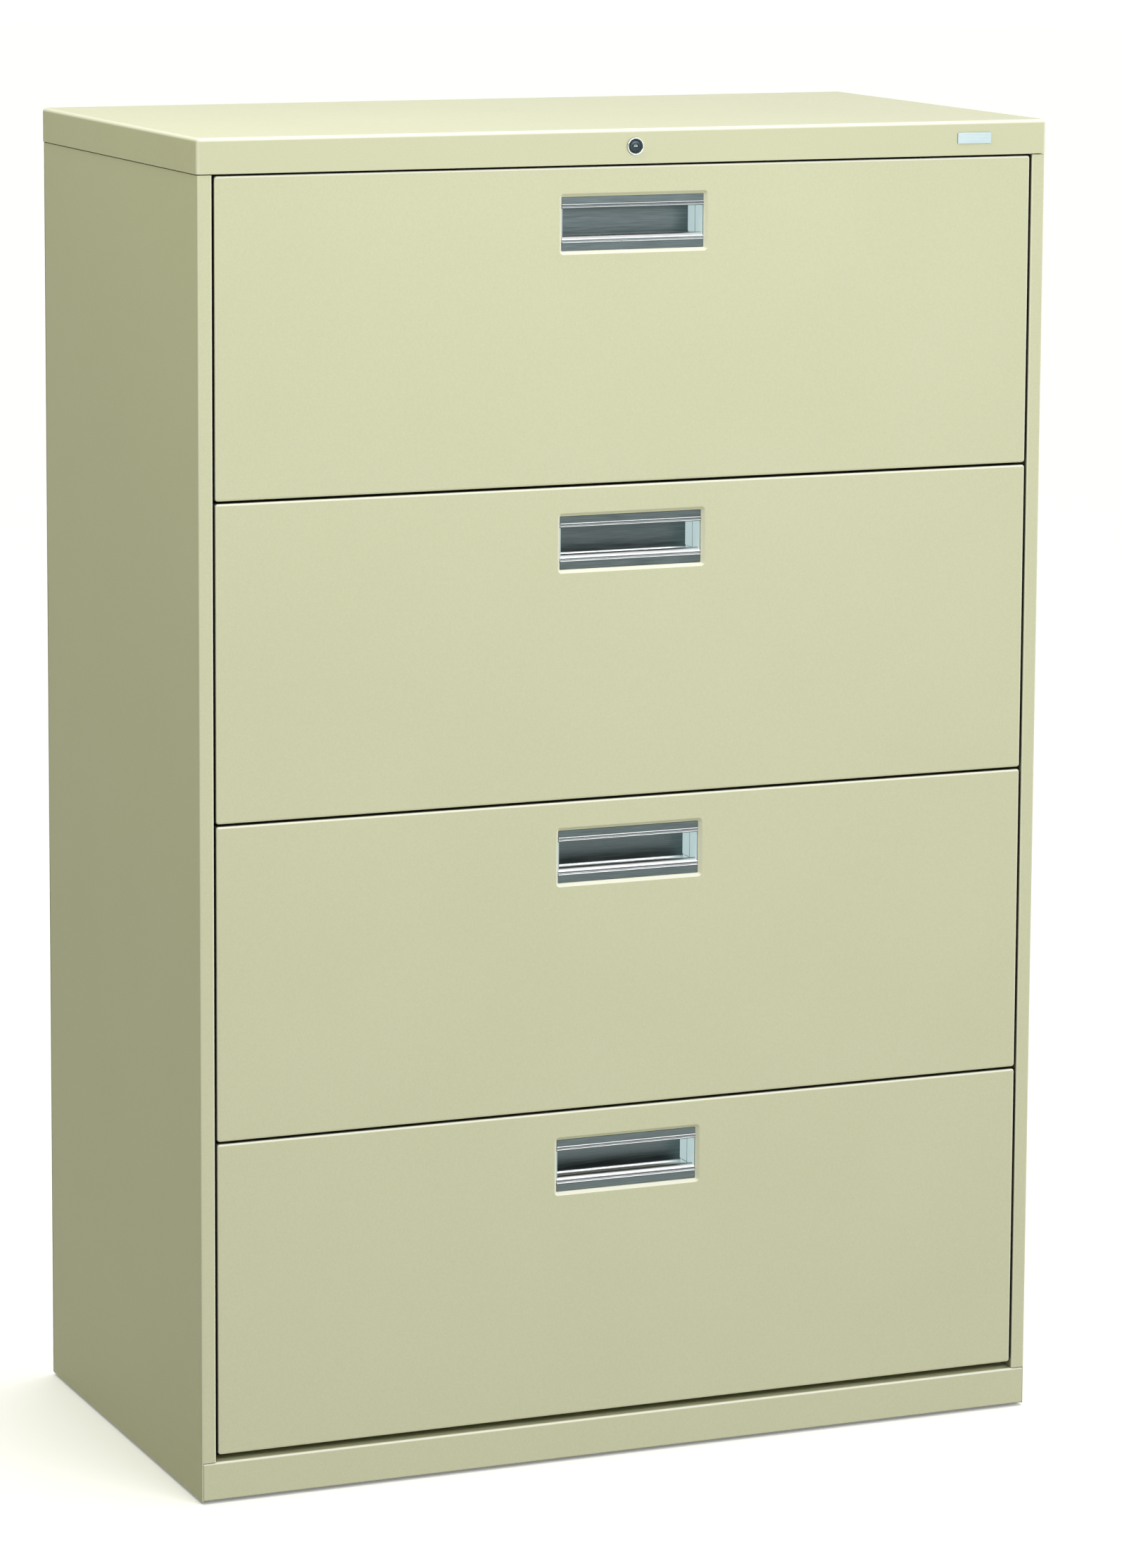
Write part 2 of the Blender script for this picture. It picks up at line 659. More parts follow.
print("floor", 2 * FLOOR_HALF, "m across")

# %% Sweep
SWEEP_RADIUS, SWEEP_HEIGHT, SWEEP_SEGMENTS = 30.0, 20.0, 96
SWEEP_FOOT = -1.0  # below the floor, so that no gap shows


def stage_piece(name, points, faces, material, **seen_by):
    """Something in the studio that only some kinds of ray see."""
    mesh = bpy.data.meshes.new(name)
    mesh.from_pydata(points, [], faces)
    mesh.materials.append(material)
    thing = bpy.data.objects.new(name, mesh)
    for kind in ("camera", "diffuse", "glossy", "transmission", "shadow"):
        setattr(thing, f"visible_{kind}", seen_by.get(kind, False))
    bpy.context.scene.collection.objects.link(thing)
    return thing


around = [2 * math.pi * k / SWEEP_SEGMENTS for k in range(SWEEP_SEGMENTS)]
sweep_points = [(SWEEP_RADIUS * math.cos(a), SWEEP_RADIUS * math.sin(a), z)
                for z in (SWEEP_FOOT, SWEEP_HEIGHT) for a in around]
sweep_faces = []
for k in range(SWEEP_SEGMENTS):
    after = (k + 1) % SWEEP_SEGMENTS
    sweep_faces.append((k, after, after + SWEEP_SEGMENTS, k + SWEEP_SEGMENTS))
sweep_paint, _, sweep_surface = new_material("studio_sweep", Roughness=1.0, Specular_IOR_Level=0.0)
sweep_surface.inputs["Emission Color"].default_value = (1, 1, 1, 1)
sweep_surface.inputs["Emission Strength"].default_value = 1.0
stage_piece("sweep", sweep_points, sweep_faces, sweep_paint, camera=True)
print("sweep faces", len(sweep_faces))

# %% [markdown]
# ## Lamps
# A large softbox in front lights the drawers. A smaller fill, high on the left, lights the left
# side. A long narrow strip above gives the folds of the cap their bright lines. Places and
# sizes are in metres.

# %% Lamps


def area_light(name, place, target, size, watts, tint="#ffffff"):
    """A rectangular softbox that faces a point."""
    data = bpy.data.lights.new(name, "AREA")
    data.shape = "RECTANGLE"
    data.size, data.size_y = size
    data.energy = watts
    data.color = linear(tint)[:3]
    light = bpy.data.objects.new(name, data)
    light.location = place
    way = Vector(target) - Vector(place)
    light.rotation_euler = way.to_track_quat("-Z", "Y").to_euler()
    light.visible_camera = False
    bpy.context.scene.collection.objects.link(light)
    return light


area_light("front_softbox", place=(0.5, -2.6, 1.9), target=(0.0, -0.24, 0.55),
           size=(1.8, 1.0), watts=36.5)
area_light("left_fill", place=(-1.7, -0.7, 2.6), target=(-0.457, 0.0, 0.9),
           size=(0.8, 0.8), watts=12, tint="#fafad8")
area_light("edge_strip", place=(-0.9, -1.0, 3.2), target=(0.0, -0.1, 1.0),
           size=(1.4, 0.3), watts=8)

# %% [markdown]
# ## Dome
# The rest of the light is a soft dome. It is a little brighter overhead, and it fades towards
# the front and towards the left, where it also turns slightly yellow. Its lower half stands
# for the light that a real floor throws back, and fades towards the left as well.

# %% Dome
world = bpy.data.worlds.new("studio")
bpy.context.scene.world = world
world.use_nodes = True
dome = world.node_tree
heading = add(dome, "ShaderNodeSeparateXYZ", {"Vector": add(dome, "ShaderNodeTexCoord").outputs["Generated"]})
lift = add(dome, "ShaderNodeMapRange", {
    "Value": heading.outputs["Z"], "From Min": 0.0, "From Max": 0.9, "To Min": 1.3, "To Max": 1.45,
})
fade = add(dome, "ShaderNodeMapRange", {
    "Value": heading.outputs["X"], "From Min": -0.9, "From Max": 0.0, "To Min": 0.05, "To Max": 1.0,
}, interpolation_type="SMOOTHSTEP")
near = add(dome, "ShaderNodeMapRange", {
    "Value": heading.outputs["Y"], "From Min": -0.9, "From Max": 0.1, "To Min": 0.2, "To Max": 1.0,
}, interpolation_type="SMOOTHSTEP")
dim = add(dome, "ShaderNodeMath", {0: near.outputs["Result"], 1: fade.outputs["Result"]},
          operation="MULTIPLY")
level = add(dome, "ShaderNodeMath", {0: lift.outputs["Result"], 1: dim.outputs[0]},
            operation="MULTIPLY")
ground = add(dome, "ShaderNodeMapRange", {
    "Value": heading.outputs["X"], "From Min": -0.7, "From Max": 0.1, "To Min": 0.38, "To Max": 0.95,
}, interpolation_type="SMOOTHSTEP")
above = add(dome, "ShaderNodeMapRange", {
    "Value": heading.outputs["Z"], "From Min": -0.08, "From Max": 0.02,
})
whole = add(dome, "ShaderNodeMix", {
    0: above.outputs["Result"], 2: ground.outputs["Result"], 3: level.outputs[0],
}, data_type="FLOAT")
warm = add(dome, "ShaderNodeMapRange", {
    "Value": heading.outputs["X"], "From Min": -0.7, "From Max": 0.1,
}, interpolation_type="SMOOTHSTEP")
tint = add(dome, "ShaderNodeMix", {0: warm.outputs["Result"], 6: linear("#f9fad8"), 7: linear("#ffffff")},
           data_type="RGBA")
dome.links.new(tint.outputs[2], dome.nodes["Background"].inputs["Color"])
dome.links.new(whole.outputs[0], dome.nodes["Background"].inputs["Strength"])
bpy.context.scene.view_settings.view_transform = "Standard"
print("dome nodes", len(dome.nodes))

# %% [markdown]
# ## The top cap
# The cap is a shallow tray turned over: a flat top with a skirt folded down on all four sides.
# It is lofted from rounded rectangles, down the outside, round the cut edge and up the inside,
# so the sheet has its real thickness. The lock's hole is cut afterwards.

# %% Top cap
CAP_EDGE = 4.2 * MM  # rounding of the top edges
CAP_CORNER = 4.6 * MM  # rounding of the upright corners
CUT_EDGE = 0.35 * MM  # softened cut edge under the paint


def cap_rings():
    """Rings from the middle of the top, over the edge, down, and up inside."""
    half_x, half_y = case_high.x, (case_high.y - case_low.y) / 2
    top, bottom = case_high.z, case_low.z
    for inset, drop in reversed(list(quarter_turn(CAP_EDGE))):
        yield half_x - inset, half_y - inset, CAP_CORNER - inset, top - drop
    yield half_x, half_y, CAP_CORNER, bottom + CUT_EDGE
    yield half_x - CUT_EDGE, half_y - CUT_EDGE, CAP_CORNER - CUT_EDGE, bottom
    inner = SHEET
    yield half_x - inner + CUT_EDGE, half_y - inner + CUT_EDGE, CAP_CORNER - inner, bottom
    yield half_x - inner, half_y - inner, CAP_CORNER - inner, bottom + CUT_EDGE
    for inset, drop in quarter_turn(CAP_EDGE - SHEET):
        width, depth = half_x - inner - inset, half_y - inner - inset
        yield width, depth, CAP_CORNER - inner - inset, top - inner - drop


cap_middle_y = (case_low.y + case_high.y) / 2
rings = [
    [(x, cap_middle_y + y, z) for x, y in rounded_rectangle(width, depth, radius)]
    for width, depth, radius, z in cap_rings()
]
cap = piece("cap_shell", *loft(rings), case_paint, "cabinet", "case_paint")
lock_low, lock_high, lock_middle = node_box("lock_housing")
LOCK_HOLE = 7.7 * MM
HOLE_REACH = 20.0 * MM  # how far the cut runs either way through the skirt
hole = [(0, -HOLE_REACH), (LOCK_HOLE, -HOLE_REACH), (LOCK_HOLE, HOLE_REACH), (0, HOLE_REACH)]
cut(cap, turned(hole, Vector((lock_middle.x, case_low.y, lock_middle.z)), 64))
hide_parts("top_cap")
print("cap rings", len(rings), "faces", len(cap.data.polygons))

# %% [markdown]
# ## Sides and base rail
# Each side is one sheet folded round in plan, with a boxed post behind the stile at the front
# and another at the back. The base rail is a channel on its side that crosses under the
# stiles, so the side's fold is cut away for it at the foot.

# %% Sides
POST_DEPTH = 45.0 * MM
POST_LIP = 6.0 * MM
CAP_GAP = 0.9 * MM  # the dark line between the cap's skirt and the side
CUT_MARGIN = 20.0 * MM
CUT_OVERLAP = 1.0 * MM  # how far the cut runs past the post's depth

base_low, base_high, _ = node_box("base_rail")
for hand, side in HANDS:
    low, high, _ = node_box(f"{hand}_side_panel")
    outer = max(abs(low.x), abs(high.x))
    inner = min(abs(low.x), abs(high.x))
    path = [
        (-inner - POST_LIP, high.y - POST_DEPTH),
        (-inner, high.y - POST_DEPTH),
        (-inner, high.y),
        (-outer, high.y),
        (-outer, low.y),
        (-inner, low.y),
        (-inner, low.y + POST_DEPTH),
        (-inner - POST_LIP, low.y + POST_DEPTH),
    ]
    points, faces = run(folded_outline(path), along_z, low.z, case_low.z - CAP_GAP)
    points = [(-side * x, y, z) for x, y, z in points]
    shell = piece(f"{hand}_side_shell", points, faces, case_paint, "cabinet", "case_paint")
    reach = sorted((side * (outer - SHEET - TOUCH), side * (inner - CUT_MARGIN)))
    cut(shell, block_shape(
        (reach[0], low.y - CUT_MARGIN, low.z - CUT_MARGIN),
        (reach[1], low.y + POST_DEPTH + CUT_OVERLAP, base_high.z + TOUCH),
    ))
    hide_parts(f"{hand}_side_panel")
    print(hand, "side faces", len(shell.data.polygons))

# %% Base rail
BASE_FOLD = 2.4 * MM

path = [
    (base_high.y, base_high.z),
    (base_low.y, base_high.z),
    (base_low.y, base_low.z),
    (base_high.y, base_low.z),
]
points, faces = run(folded_outline(path, fold=BASE_FOLD), along_x, base_low.x, base_high.x)
base = piece("base_rail_shell", points, faces, case_paint, "cabinet", "case_paint")
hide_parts("base_rail")
print("base rail", [round(v * 1000, 1) for v in base_high - base_low])

# %% [markdown]
# ## Drawer fronts
# Each front is a pan about an inch deep, folded back on all four sides, with a dished seat
# pressed into it for the pull. It is one closed loft: forward along the outside, over the
# rounded edge, across the face, down the bevel of the seat, through the window and back
# along the inside of the sheet.

# %% Rings of a drawer front
FACE_EDGE = 2.5 * MM
FACE_CORNER = 3.0 * MM
SEAT_DEPTH = 3.5 * MM
SEAT_BEVEL = 2.8 * MM
SEAT_LEDGE = 0.6 * MM
SEAT_CORNER = 0.8 * MM
PULL_FIT = 0.35 * MM
CREASE = 0.5 * MM  # softening where the bevel meets the face and the ledge
CREASE_SAG = 0.12 * CREASE  # how far a crease's middle ring is pulled off its corner
LEAST_RADIUS = 0.1 * MM
INNER_STEPS = 4
PULL_KEEPER = 4.0 * MM  # how far the pull's plate reaches behind the seat, above and below


def front_rings(low, high, pull_width, pull_height, pull_level):
    """Rings of one drawer front: half width, half height, corner radius, depth and lift."""
    half_x, half_z = (high.x - low.x) / 2, (high.z - low.z) / 2
    depth = high.y - low.y
    yield half_x, half_z, FACE_CORNER, depth, 0
    for inset, drop in quarter_turn(FACE_EDGE):
        yield half_x - inset, half_z - inset, FACE_CORNER - inset, drop, 0
    window_x, window_z = pull_width / 2 + PULL_FIT, pull_height / 2 + PULL_FIT
    slope = SEAT_DEPTH / SEAT_BEVEL

    def seat(grow, level):
        grown = grow + SEAT_CORNER
        return window_x + grow, window_z + grow, max(grown, LEAST_RADIUS), level, pull_level

    rim = SEAT_LEDGE + SEAT_BEVEL
    yield seat(rim + CREASE, 0)
    yield seat(rim, CREASE_SAG)
    yield seat(rim - CREASE, CREASE * slope)
    yield seat(SEAT_LEDGE + CREASE, SEAT_DEPTH - CREASE * slope)
    yield seat(SEAT_LEDGE, SEAT_DEPTH - CREASE_SAG)
    yield seat(SEAT_LEDGE - CREASE / 2, SEAT_DEPTH)
    yield seat(CUT_EDGE / 2, SEAT_DEPTH)
    yield seat(0, SEAT_DEPTH + CUT_EDGE / 2)
    yield seat(0, SEAT_DEPTH + SHEET)
    yield seat(SEAT_LEDGE + SHEET / 2, SEAT_DEPTH + SHEET)
    yield seat(rim + SHEET / 2, SHEET)
    for inset, drop in reversed(list(quarter_turn(FACE_EDGE - SHEET, INNER_STEPS))):
        inner = SHEET + inset
        yield half_x - inner, half_z - inner, FACE_CORNER - inner, SHEET + drop, 0
    yield half_x - SHEET, half_z - SHEET, FACE_CORNER - SHEET, depth, 0


print("seat depth and bevel in mm", [round(v / MM, 2) for v in (SEAT_DEPTH, SEAT_BEVEL)])

# %% [markdown]
# The rings are laid at each drawer's own place. The seat is lifted to the level of its pull.

# %% Drawer fronts
for n in DRAWERS:
    low, high, middle = node_box(f"drawer_{n}_front")
    pull_low, pull_high, pull_middle = node_box(f"drawer_{n}_pull")
    rings = [
        [(middle.x + x, low.y + depth, middle.z + lift + z)
         for x, z in rounded_rectangle(half_x, half_z, radius)]
        for half_x, half_z, radius, depth, lift in front_rings(
            low, high, pull_high.x - pull_low.x,
            pull_high.z - pull_low.z - 2 * PULL_KEEPER, pull_middle.z - middle.z)
    ]
    front = piece(f"drawer_{n}_face", *loft(rings, closed=True), front_paint,
                  f"drawer_{n}", "drawer_paint")
    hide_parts(f"drawer_{n}_front")
print("front rings", len(rings), "faces each", len(front.data.polygons))

# %% [markdown]
# ## Pulls
# A pull is a length of extrusion: a flat plate with two fine half-round ribs and a groove
# above the recess, and a full round lip, a groove and a rib below it. The light catches the
# ribs and the lip and leaves the flats dark. The ends are closed by moulded plugs, which have
# a raised pad at the back of the recess and a small foot at the bottom.

# %% Section of the pull
RIB_RISE = 0.8 * MM
GROOVE_DEPTH = 0.8 * MM
RECESS_TOP = 15.2 * MM
RECESS_FLOOR = -19.0 * MM  # below the lip, so that fingers hook behind it
RECESS_DEPTH = 34.0 * MM
RECESS_WALL = 1.6 * MM
BACK_CORNER = 2.5 * MM
HEEL = 5.0 * MM
LIP_RADIUS = 4.5 * MM
LIP_BASE = -16.3 * MM
LIP_BACK = 7.0 * MM
LIP_EASE = 1.0 * MM
REBATE = SHEET + TOUCH
PLATE = REBATE + 1.5 * MM
RIB_STEPS = 8
GROOVE_STEPS = 6
MOUTH_RIB = 1.6 * MM  # heights up from the recess: a rib, a groove and a second rib
UPPER_GROOVE = 1.2 * MM
UPPER_RIB = 1.8 * MM
LOWER_GROOVE = 1.4 * MM  # heights down from the lip: a groove and a rib
LOWER_RIB = 1.9 * MM


def arc(y, z, radius_y, radius_z, start, end, steps):
    """Points of part of an ellipse in Y and Z, with angles in degrees from +Y towards +Z."""
    points = []
    for k in range(steps + 1):
        angle = math.radians(start + (end - start) * k / steps)
        points.append((y + radius_y * math.cos(angle), z + radius_z * math.sin(angle)))
    return points


def rib(top, bottom):
    """A half-round rib on the plate's face, from top to bottom."""
    return arc(0, (top + bottom) / 2, RIB_RISE, (top - bottom) / 2, 90, 270, RIB_STEPS)


def groove(top, bottom):
    """A round-bottomed groove in the plate's face, from top to bottom."""
    return arc(0, (top + bottom) / 2, GROOVE_DEPTH, (top - bottom) / 2, 90, -90, GROOVE_STEPS)


def pull_outline(half_height):
    """The extrusion's section, down its front and back up behind."""
    mouth = RECESS_TOP + MOUTH_RIB
    above = mouth + UPPER_GROOVE
    below = LIP_BASE - LOWER_GROOVE
    back = RECESS_DEPTH
    lip_top = LIP_BASE + LIP_RADIUS - LIP_EASE
    front = [(0, half_height)]
    front += rib(above + UPPER_RIB, above)
    front += groove(above, mouth)
    front += rib(mouth, RECESS_TOP)
    front += arc(back - BACK_CORNER, RECESS_TOP - BACK_CORNER, BACK_CORNER, BACK_CORNER,
                 start=90, end=0, steps=5)
    front += arc(back - HEEL, RECESS_FLOOR + HEEL, HEEL, HEEL, start=0, end=-90, steps=6)
    front += [(LIP_BACK, RECESS_FLOOR), (LIP_BACK, lip_top)]
    front += arc(LIP_BACK - LIP_EASE, lip_top, LIP_EASE, LIP_EASE, start=0, end=90, steps=4)
    front += arc(LIP_RADIUS, LIP_BASE, LIP_RADIUS, LIP_RADIUS, start=90, end=180, steps=12)
    front += groove(LIP_BASE, below)
    front += rib(below, below - LOWER_RIB)
    front += [(0, -half_height)]
    under, over, rear = RECESS_FLOOR - RECESS_WALL, RECESS_TOP + RECESS_WALL, back + RECESS_WALL
    behind = [
        (REBATE, -half_height),
        (REBATE, -half_height - PULL_KEEPER),
        (PLATE, -half_height - PULL_KEEPER),
        (PLATE, under),
        (rear - HEEL, under),
        (rear, under + HEEL),
        (rear, over - BACK_CORNER),
        (rear - BACK_CORNER, over),
        (PLATE, over),
        (PLATE, half_height + PULL_KEEPER),
        (REBATE, half_height + PULL_KEEPER),
        (REBATE, half_height),
    ]
    return front + behind


print("recess height in mm", round((RECESS_TOP - RECESS_FLOOR) / MM, 1))

# %% [markdown]
# The section is run from one end of each pull to the other, with its plate's face set back by
# the rise of the ribs, so the ribs are what stands furthest forward.

# %% Pull extrusions
for n in DRAWERS:
    low, high, middle = node_box(f"drawer_{n}_pull")
    half_height = (high.z - low.z) / 2 - PULL_KEEPER
    face_y = low.y + RIB_RISE
    rings = [
        [(x, face_y + y, middle.z + z) for y, z in pull_outline(half_height)]
        for x in (low.x, high.x)
    ]
    extrusion = piece(f"drawer_{n}_pull_extrusion", *loft(rings), pull_metal,
                      f"drawer_{n}", "pull_metal")
    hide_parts(f"drawer_{n}_pull")
print("pull outline points", len(rings[0]))

# %% [markdown]
# The end plugs are drawn in depth and height and given their thickness sideways: a wall that
# closes the recess, a pad over its back half and a foot along the bottom. Each is a small loft
# with softened edges, because moulded plastic never has a sharp one.

# %% Pull end plugs
PLUG_WALL = 0.8 * MM
PAD_RISE = 0.7 * MM
FOOT_RISE = 1.3 * MM
SOFT = 0.25 * MM
PLUG_FIT = 0.05 * MM  # clearance inside the recess
PLUG_FRONT = 0.4 * MM  # gaps to the plate's face and to the back wall
PLUG_BACK = 0.1 * MM
PAD_FOOT = 5.6 * MM  # levels above the recess's floor
FOOT_LOW = 0.6 * MM
FOOT_HIGH = 5.2 * MM
FOOT_AHEAD = 1.0 * MM  # how far the foot runs ahead of the pad and stops short of the back
FOOT_SHORT = 4.0 * MM


def soft_block(low, high, soft=SOFT):
    """Points and faces of a block along X whose four long edges and one end are softened."""
    middle = [(a + b) / 2 for a, b in zip(low, high)]
    half_y, half_z = (high[1] - low[1]) / 2, (high[2] - low[2]) / 2
    levels = [(low[0], soft), (low[0] + soft, 0), (high[0] - soft, 0), (high[0], soft)]
    rings = [
        [(x, middle[1] + y, middle[2] + z)
         for y, z in rounded_rectangle(half_y - inset, half_z - inset, 2 * soft - inset)]
        for x, inset in levels
    ]
    return loft(rings)


def join_shapes(shapes):
    """Several closed shapes as one list of points and faces."""
    points, faces = [], []
    for more_points, more_faces in shapes:
        start = len(points)
        points += more_points
        faces += [tuple(i + start for i in face) for face in more_faces]
    return points, faces


for n in DRAWERS:
    low, high, middle = node_box(f"drawer_{n}_pull")
    face_y = low.y + RIB_RISE
    half = RECESS_DEPTH / 2
    for hand, side in HANDS:
        end = high.x - PLUG_FIT
        floor_z = middle.z + RECESS_FLOOR + PLUG_FIT
        roof_z = middle.z + RECESS_TOP - PLUG_FIT
        inside = end - PLUG_WALL
        back_y = face_y + RECESS_DEPTH - PLUG_BACK
        parts = [
            ((inside, face_y + PLUG_FRONT, floor_z), (end, back_y, roof_z)),
            ((inside - PAD_RISE, face_y + half, floor_z + PAD_FOOT),
             (inside + SOFT, back_y, roof_z)),
            ((inside - FOOT_RISE, face_y + half - FOOT_AHEAD, floor_z + FOOT_LOW),
             (inside + SOFT, face_y + RECESS_DEPTH - FOOT_SHORT, floor_z + FOOT_HIGH)),
        ]
        points, faces = join_shapes([soft_block(*part) for part in parts])
        points = [(side * x, y, z) for x, y, z in points]
        piece(f"drawer_{n}_pull_end_{hand}", points, faces, end_plastic, f"drawer_{n}", "pull_metal")
print("end plugs", 2 * len(DRAWERS))

# %% [markdown]
# ## Lock and maker's plate
# The lock's ring has a bright rolled rim round a dark flat face, which is chamfered towards the
# plug. The plug sits just inside it and carries a raised boss with the keyway. The plate
# beside the lock is left blank.

# %% Lock ring
RING_PROUD = 2.2 * MM
RING_RADIUS = 8.6 * MM
PLUG_RADIUS = 5.9 * MM
BORE = 5.98 * MM
BARREL = 7.4 * MM
LOCK_LENGTH = 27.0 * MM
BEAD = 0.55 * MM  # half the width of the ring's bright rolled rim
FACE_LEVEL = -1.1 * MM
FACE_BACK = 0.15 * MM
FACE_FIT = 0.02 * MM
STEP_BACK = 0.2 * MM  # the ring's step behind the face
CHAMFER = 0.3 * MM
RING_SEGMENTS = 72

lock_face = Vector((lock_middle.x, case_low.y, lock_middle.z))
bead = []
for degrees in range(0, 181, 15):
    angle = math.radians(degrees)
    bead.append((
        RING_RADIUS - BEAD - BEAD * math.cos(angle),
        -RING_PROUD + BEAD - BEAD * math.sin(angle),
    ))
rim_inside = RING_RADIUS - 2 * BEAD
ring_profile = [
    (rim_inside, FACE_LEVEL), *bead, (RING_RADIUS, -TOUCH), (BARREL, -TOUCH),
    (BARREL, LOCK_LENGTH), (BORE, LOCK_LENGTH), (BORE, STEP_BACK), (rim_inside, STEP_BACK),
    (rim_inside, FACE_LEVEL),
]
ring = piece("lock_ring", *turned(ring_profile, lock_face, RING_SEGMENTS), chrome,
             "cabinet", "lock_chrome")
face_profile = [
    (BORE, FACE_BACK), (BORE, FACE_LEVEL + CHAMFER), (BORE + CHAMFER, FACE_LEVEL),
    (rim_inside - FACE_FIT, FACE_LEVEL), (rim_inside - FACE_FIT, FACE_BACK),
    (BORE, FACE_BACK),
]
piece("lock_face_plate", *turned(face_profile, lock_face, RING_SEGMENTS), dark_nickel,
      "cabinet", "lock_chrome")
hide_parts("lock_housing")
print("lock at", [round(v * 1000, 1) for v in lock_face])

# %% [markdown]
# The plug, its shutter behind the keyway and its tenon for the cam turn together.

# %% Key plug
PLUG_FACE = -1.3 * MM
BOSS = 3.3 * MM
BOSS_RISE = 1.0 * MM
PLUG_SEGMENTS = 64
KEYWAY = Vector((5.0, 14.0, 1.2)) * MM
KEYWAY_FRONT = 5.0 * MM  # how far ahead of the cap's skirt the cut starts
SHUTTER_SHARE = Vector((0.45, 0, 0.4))  # half its width and height, as a share of the keyway's
SHUTTER_FRONT = 0.4 * MM
SHUTTER_BACK = 2.0 * MM
SHUTTER_SOFT = 0.15 * MM
TENON_HALF = 3.0 * MM

plug_profile = [
    (0, LOCK_LENGTH), (PLUG_RADIUS, LOCK_LENGTH), (PLUG_RADIUS, PLUG_FACE + CHAMFER),
    (PLUG_RADIUS - CHAMFER, PLUG_FACE), (BOSS + 0.4 * MM, PLUG_FACE),
    (BOSS, PLUG_FACE - 0.3 * MM), (BOSS - 0.5 * MM, PLUG_FACE - BOSS_RISE + 0.1 * MM),
    (BOSS - 0.9 * MM, PLUG_FACE - BOSS_RISE), (0, PLUG_FACE - BOSS_RISE),
]
plug = piece("lock_key_plug", *turned(plug_profile, lock_face, PLUG_SEGMENTS), dark_nickel,
             "lock_plug", "lock_metal")
cut(plug, block_shape(
    (lock_face.x - KEYWAY.x / 2, lock_face.y - KEYWAY_FRONT, lock_face.z - KEYWAY.z / 2),
    (lock_face.x + KEYWAY.x / 2, lock_face.y + KEYWAY.y, lock_face.z + KEYWAY.z / 2),
))
shutter_x, shutter_z = SHUTTER_SHARE.x * KEYWAY.x, SHUTTER_SHARE.z * KEYWAY.z
shutter = soft_block(
    (lock_face.x - shutter_x, lock_face.y + PLUG_FACE - SHUTTER_FRONT, lock_face.z - shutter_z),
    (lock_face.x + shutter_x, lock_face.y + SHUTTER_BACK, lock_face.z + shutter_z),
    SHUTTER_SOFT)
piece("lock_key_shutter", *shutter, chrome, "lock_plug", "lock_metal")
_, tenon_end, _ = node_box("lock_plug")
tenon = soft_block(
    (lock_face.x - TENON_HALF, lock_face.y + LOCK_LENGTH, lock_face.z - TENON_HALF),
    (lock_face.x + TENON_HALF, tenon_end.y, lock_face.z + TENON_HALF))
piece("lock_plug_tenon", *tenon, dark_nickel, "lock_plug", "lock_metal")
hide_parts("lock_plug")
print("key plug faces", len(plug.data.polygons))

# %% Maker's plate
PLATE_CORNER = 0.8 * MM
PLATE_EDGE = 0.3 * MM
PLATE_EASE = (0.08 * MM, 0.1 * MM)  # inset and depth of the ring midway round the edge

plate_low, plate_high, plate_middle = node_box("name_plate")
half_x, half_z = (plate_high.x - plate_low.x) / 2, (plate_high.z - plate_low.z) / 2
levels = [(PLATE_EDGE, 0), PLATE_EASE, (0, PLATE_EDGE), (0, plate_high.y - plate_low.y)]
rings = [
    [(plate_middle.x + x, plate_low.y + y, plate_middle.z + z)
     for x, z in rounded_rectangle(half_x - inset, half_z - inset, PLATE_CORNER - inset)]
    for inset, y in levels
]
plate = piece("blank_plate", *loft(rings), plate_metal, "cabinet", "plate_metal")
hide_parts("name_plate")
print("plate", [round(v * 1000, 1) for v in plate_high - plate_low])

# %% [markdown]
# ## Balls, cages and rivets of the slides
# A drawer slide is three nested channels that roll on rows of steel balls. A pressed strip, the
# cage, keeps the balls apart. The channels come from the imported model, and the balls and
# cages are added here on the middle channel, so that an open drawer shows what it rolls on.
# Domed rivets fix the inner channel to the drawer's box.

# %% Balls and cages
BALL = 1.5 * MM
BALL_SPACING = 15.0 * MM
CAGE_THICK = 0.8 * MM
CAGE_HALF_WIDTH = 1.9 * MM
CAGE_MARGIN = 6.0 * MM  # how far a cage runs past its last ball
CHANNEL_WALL = 1.5 * MM
ROW_NEAR, ROW_FAR = 0.02, 0.2  # a row's ends, in metres behind or ahead of the middle
BALL_STEPS, BALL_SEGMENTS = 6, 10

ball_profile = []
for k in range(BALL_STEPS + 1):
    angle = math.pi * k / BALL_STEPS
    ball_profile.append((BALL * math.sin(angle), -BALL * math.cos(angle)))


def ball_row(x, z, start, end):
    """Balls in a row along Y."""
    count = int((end - start) / BALL_SPACING) + 1
    centres = [Vector((x, start + k * BALL_SPACING, z)) for k in range(count)]
    return [turned(ball_profile, centre, BALL_SEGMENTS) for centre in centres]


def cage(x, z, start, end):
    """The strip that spaces a row of balls."""
    return soft_block(
        (x - CAGE_HALF_WIDTH, start - CAGE_MARGIN, z - CAGE_THICK / 2),
        (x + CAGE_HALF_WIDTH, end + CAGE_MARGIN, z + CAGE_THICK / 2), CAGE_THICK / 4)


def near_x(low, high):
    """How far the near side of a box is from the middle of the cabinet."""
    return min(abs(low.x), abs(high.x))


def far_x(low, high):
    """How far the far side of a box is from the middle of the cabinet."""
    return max(abs(low.x), abs(high.x))


